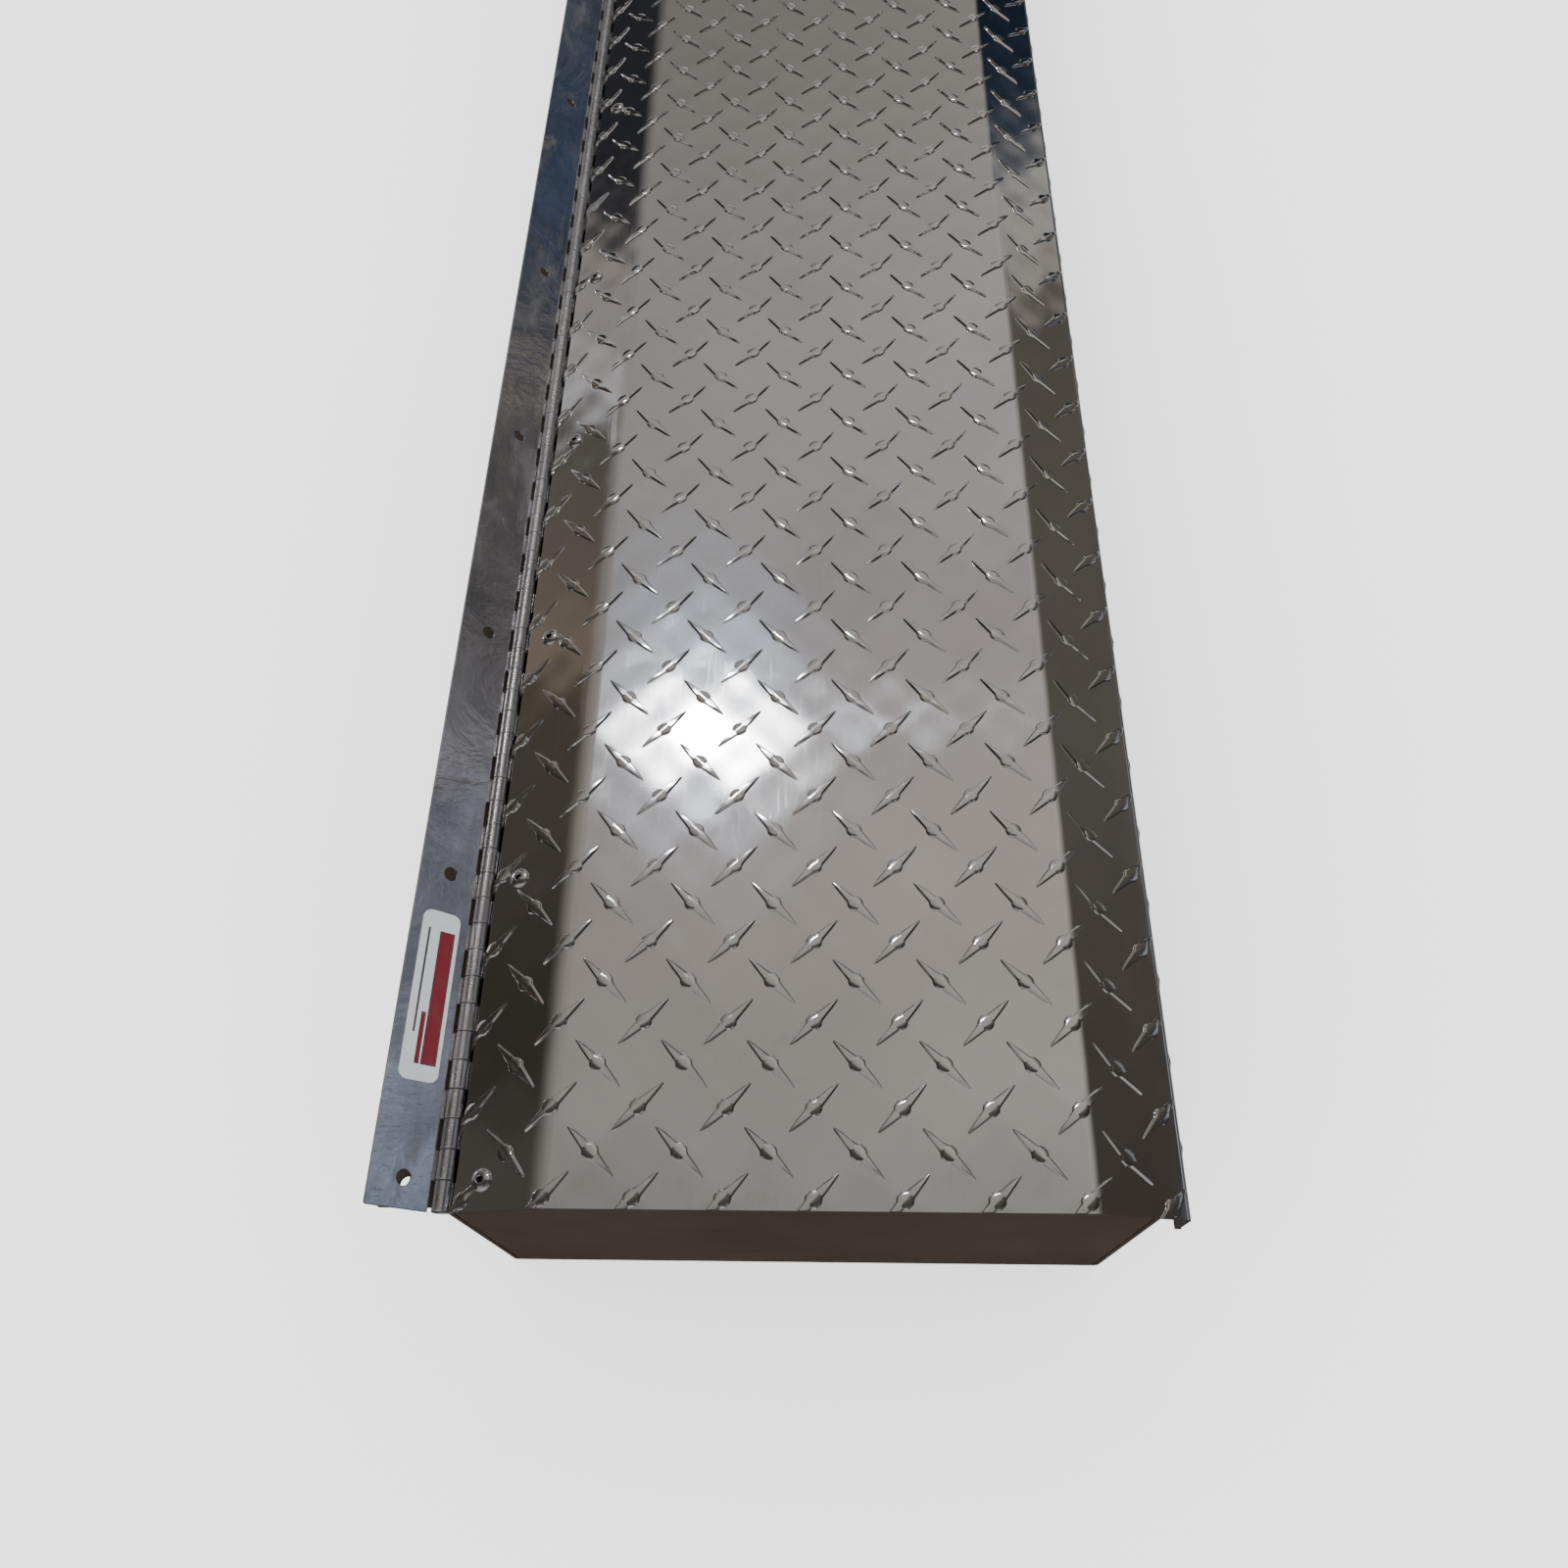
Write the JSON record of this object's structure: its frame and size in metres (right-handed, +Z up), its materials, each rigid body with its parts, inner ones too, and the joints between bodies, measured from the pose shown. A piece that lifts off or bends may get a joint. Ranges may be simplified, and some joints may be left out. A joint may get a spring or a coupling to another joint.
{
  "type": "truck tool box",
  "caption": "Low-profile tool box with a sloped-sided diamond-tread lid on a continuous hinge, a bolt-down hinge leaf, paddle latches and gas struts.",
  "frame": {"origin": "centre of the tub's underside", "axes": "+Z up, +Y along the box away from its near end, +X across it from the hinge side to the latch side"},
  "size_m": [0.3339, 1.2826, 0.1717],
  "materials": {
    "tub_paint": "dark bronze powder coat, satin",
    "tread_aluminium": "bright polished diamond tread",
    "bright_aluminium": "bright rolled, lightly scuffed",
    "hinge_steel": "satin",
    "rivet_aluminium": "bright",
    "zinc_steel": "zinc plated",
    "polished_steel": "ground and plated",
    "chrome_latch": "plated, bright",
    "black_steel": "black, semi-gloss",
    "black_rubber": "matt",
    "white_label": "blank vinyl, satin",
    "lock_brass": "satin"
  },
  "bodies": {
    "tub": {"tub_shell": "tub_paint", "end_panel_near": "tub_paint", "end_panel_far": "tub_paint", "seal_near": "black_rubber", "seal_far": "black_rubber", "seal_front": "black_rubber", "latch_pan_near": "chrome_latch", "latch_gasket_near": "black_rubber", "paddle_pin_near": "zinc_steel", "pawl_pin_near": "zinc_steel", "strut_base_bracket_near": "zinc_steel", "latch_pan_far": "chrome_latch", "latch_gasket_far": "black_rubber", "paddle_pin_far": "zinc_steel", "pawl_pin_far": "zinc_steel", "strut_base_bracket_far": "zinc_steel", "pan_rivet_near_1": "zinc_steel", "pan_rivet_near_2": "zinc_steel", "pan_rivet_near_3": "zinc_steel", "pan_rivet_near_4": "zinc_steel", "pan_rivet_far_1": "zinc_steel", "pan_rivet_far_2": "zinc_steel", "pan_rivet_far_3": "zinc_steel", "pan_rivet_far_4": "zinc_steel"},
    "bolt_leaf": {"mounting_leaf": "bright_aluminium", "mounting_label": "white_label"},
    "lid": {"lid_skin": "tread_aluminium", "lid_leaf": "bright_aluminium", "hinge_pin": "hinge_steel", "lid_stiffener_near": "bright_aluminium", "lid_stiffener_middle": "bright_aluminium", "lid_stiffener_far": "bright_aluminium", "lid_rivet_01": "rivet_aluminium", "lid_rivet_02": "rivet_aluminium", "lid_rivet_03": "rivet_aluminium", "lid_rivet_04": "rivet_aluminium", "lid_rivet_05": "rivet_aluminium", "lid_rivet_06": "rivet_aluminium", "lid_rivet_07": "rivet_aluminium", "lid_rivet_08": "rivet_aluminium", "lid_rivet_09": "rivet_aluminium", "lid_rivet_10": "rivet_aluminium", "striker_near": "zinc_steel", "strut_lid_bracket_near": "zinc_steel", "striker_far": "zinc_steel", "strut_lid_bracket_far": "zinc_steel"},
    "paddle_near": {"latch_paddle_near": "chrome_latch"},
    "lock_near": {"lock_cylinder_near": "lock_brass"},
    "pawl_near": {"latch_pawl_near": "zinc_steel"},
    "strut_tube_near": {"strut_cylinder_near": "black_steel"},
    "strut_shaft_near": {"strut_rod_near": "polished_steel"},
    "paddle_far": {"latch_paddle_far": "chrome_latch"},
    "lock_far": {"lock_cylinder_far": "lock_brass"},
    "pawl_far": {"latch_pawl_far": "zinc_steel"},
    "strut_tube_far": {"strut_cylinder_far": "black_steel"},
    "strut_shaft_far": {"strut_rod_far": "polished_steel"}
  },
  "joints": [
    {"name": "lid_hinge", "type": "hinge", "parent": "tub", "child": "lid", "pos_m": [-0.15629, 0, 0.15196], "axis": [0, -1, 0], "range_deg": [0, 80]},
    {"name": "bolt_leaf_swing", "type": "hinge", "parent": "tub", "child": "bolt_leaf", "pos_m": [-0.15629, 0, 0.15196], "axis": [0, 1, 0], "range_deg": [-42, 28]},
    {"name": "paddle_pull_near", "type": "hinge", "parent": "tub", "child": "paddle_near", "pos_m": [0.136, -0.4, 0.1045], "axis": [0, -1, 0], "range_deg": [0, 30], "stiffness_Nm_per_rad": 0.4},
    {"name": "lock_turn_near", "type": "hinge", "parent": "paddle_near", "child": "lock_near", "pos_m": [0.1398, -0.4, 0.082], "axis": [1, 0, 0], "range_deg": [0, 90]},
    {"name": "pawl_swing_near", "type": "hinge", "parent": "tub", "child": "pawl_near", "pos_m": [0.105, -0.4, 0.092], "axis": [0, 1, 0], "range_deg": [0, 18.5]},
    {"name": "strut_tilt_near", "type": "hinge", "parent": "tub", "child": "strut_tube_near", "pos_m": [-0.14029, -0.61, 0.11596], "axis": [0, -1, 0], "range_deg": [0, 73.28]},
    {"name": "strut_slide_near", "type": "slide", "parent": "strut_tube_near", "child": "strut_shaft_near", "axis": [0.9817, 0, 0.1905], "range_m": [0, 0.04707]},
    {"name": "paddle_pull_far", "type": "hinge", "parent": "tub", "child": "paddle_far", "pos_m": [0.136, 0.4, 0.1045], "axis": [0, -1, 0], "range_deg": [0, 30], "stiffness_Nm_per_rad": 0.4},
    {"name": "lock_turn_far", "type": "hinge", "parent": "paddle_far", "child": "lock_far", "pos_m": [0.1398, 0.4, 0.082], "axis": [1, 0, 0], "range_deg": [0, 90]},
    {"name": "pawl_swing_far", "type": "hinge", "parent": "tub", "child": "pawl_far", "pos_m": [0.105, 0.4, 0.092], "axis": [0, 1, 0], "range_deg": [0, 18.5]},
    {"name": "strut_tilt_far", "type": "hinge", "parent": "tub", "child": "strut_tube_far", "pos_m": [-0.14029, 0.61, 0.11596], "axis": [0, -1, 0], "range_deg": [0, 73.28]},
    {"name": "strut_slide_far", "type": "slide", "parent": "strut_tube_far", "child": "strut_shaft_far", "axis": [0.9817, 0, 0.1905], "range_m": [0, 0.04707]}
  ],
  "couplings": [
    {"joint": "pawl_swing_near", "follows": "paddle_pull_near", "ratio": 0.6},
    {"joint": "strut_tilt_near", "follows": "lid_hinge", "ratio": 0.90975},
    {"joint": "strut_slide_near", "follows": "lid_hinge", "m_per_rad": 0.033353},
    {"joint": "pawl_swing_far", "follows": "paddle_pull_far", "ratio": 0.6},
    {"joint": "strut_tilt_far", "follows": "lid_hinge", "ratio": 0.90975},
    {"joint": "strut_slide_far", "follows": "lid_hinge", "m_per_rad": 0.033353}
  ]
}
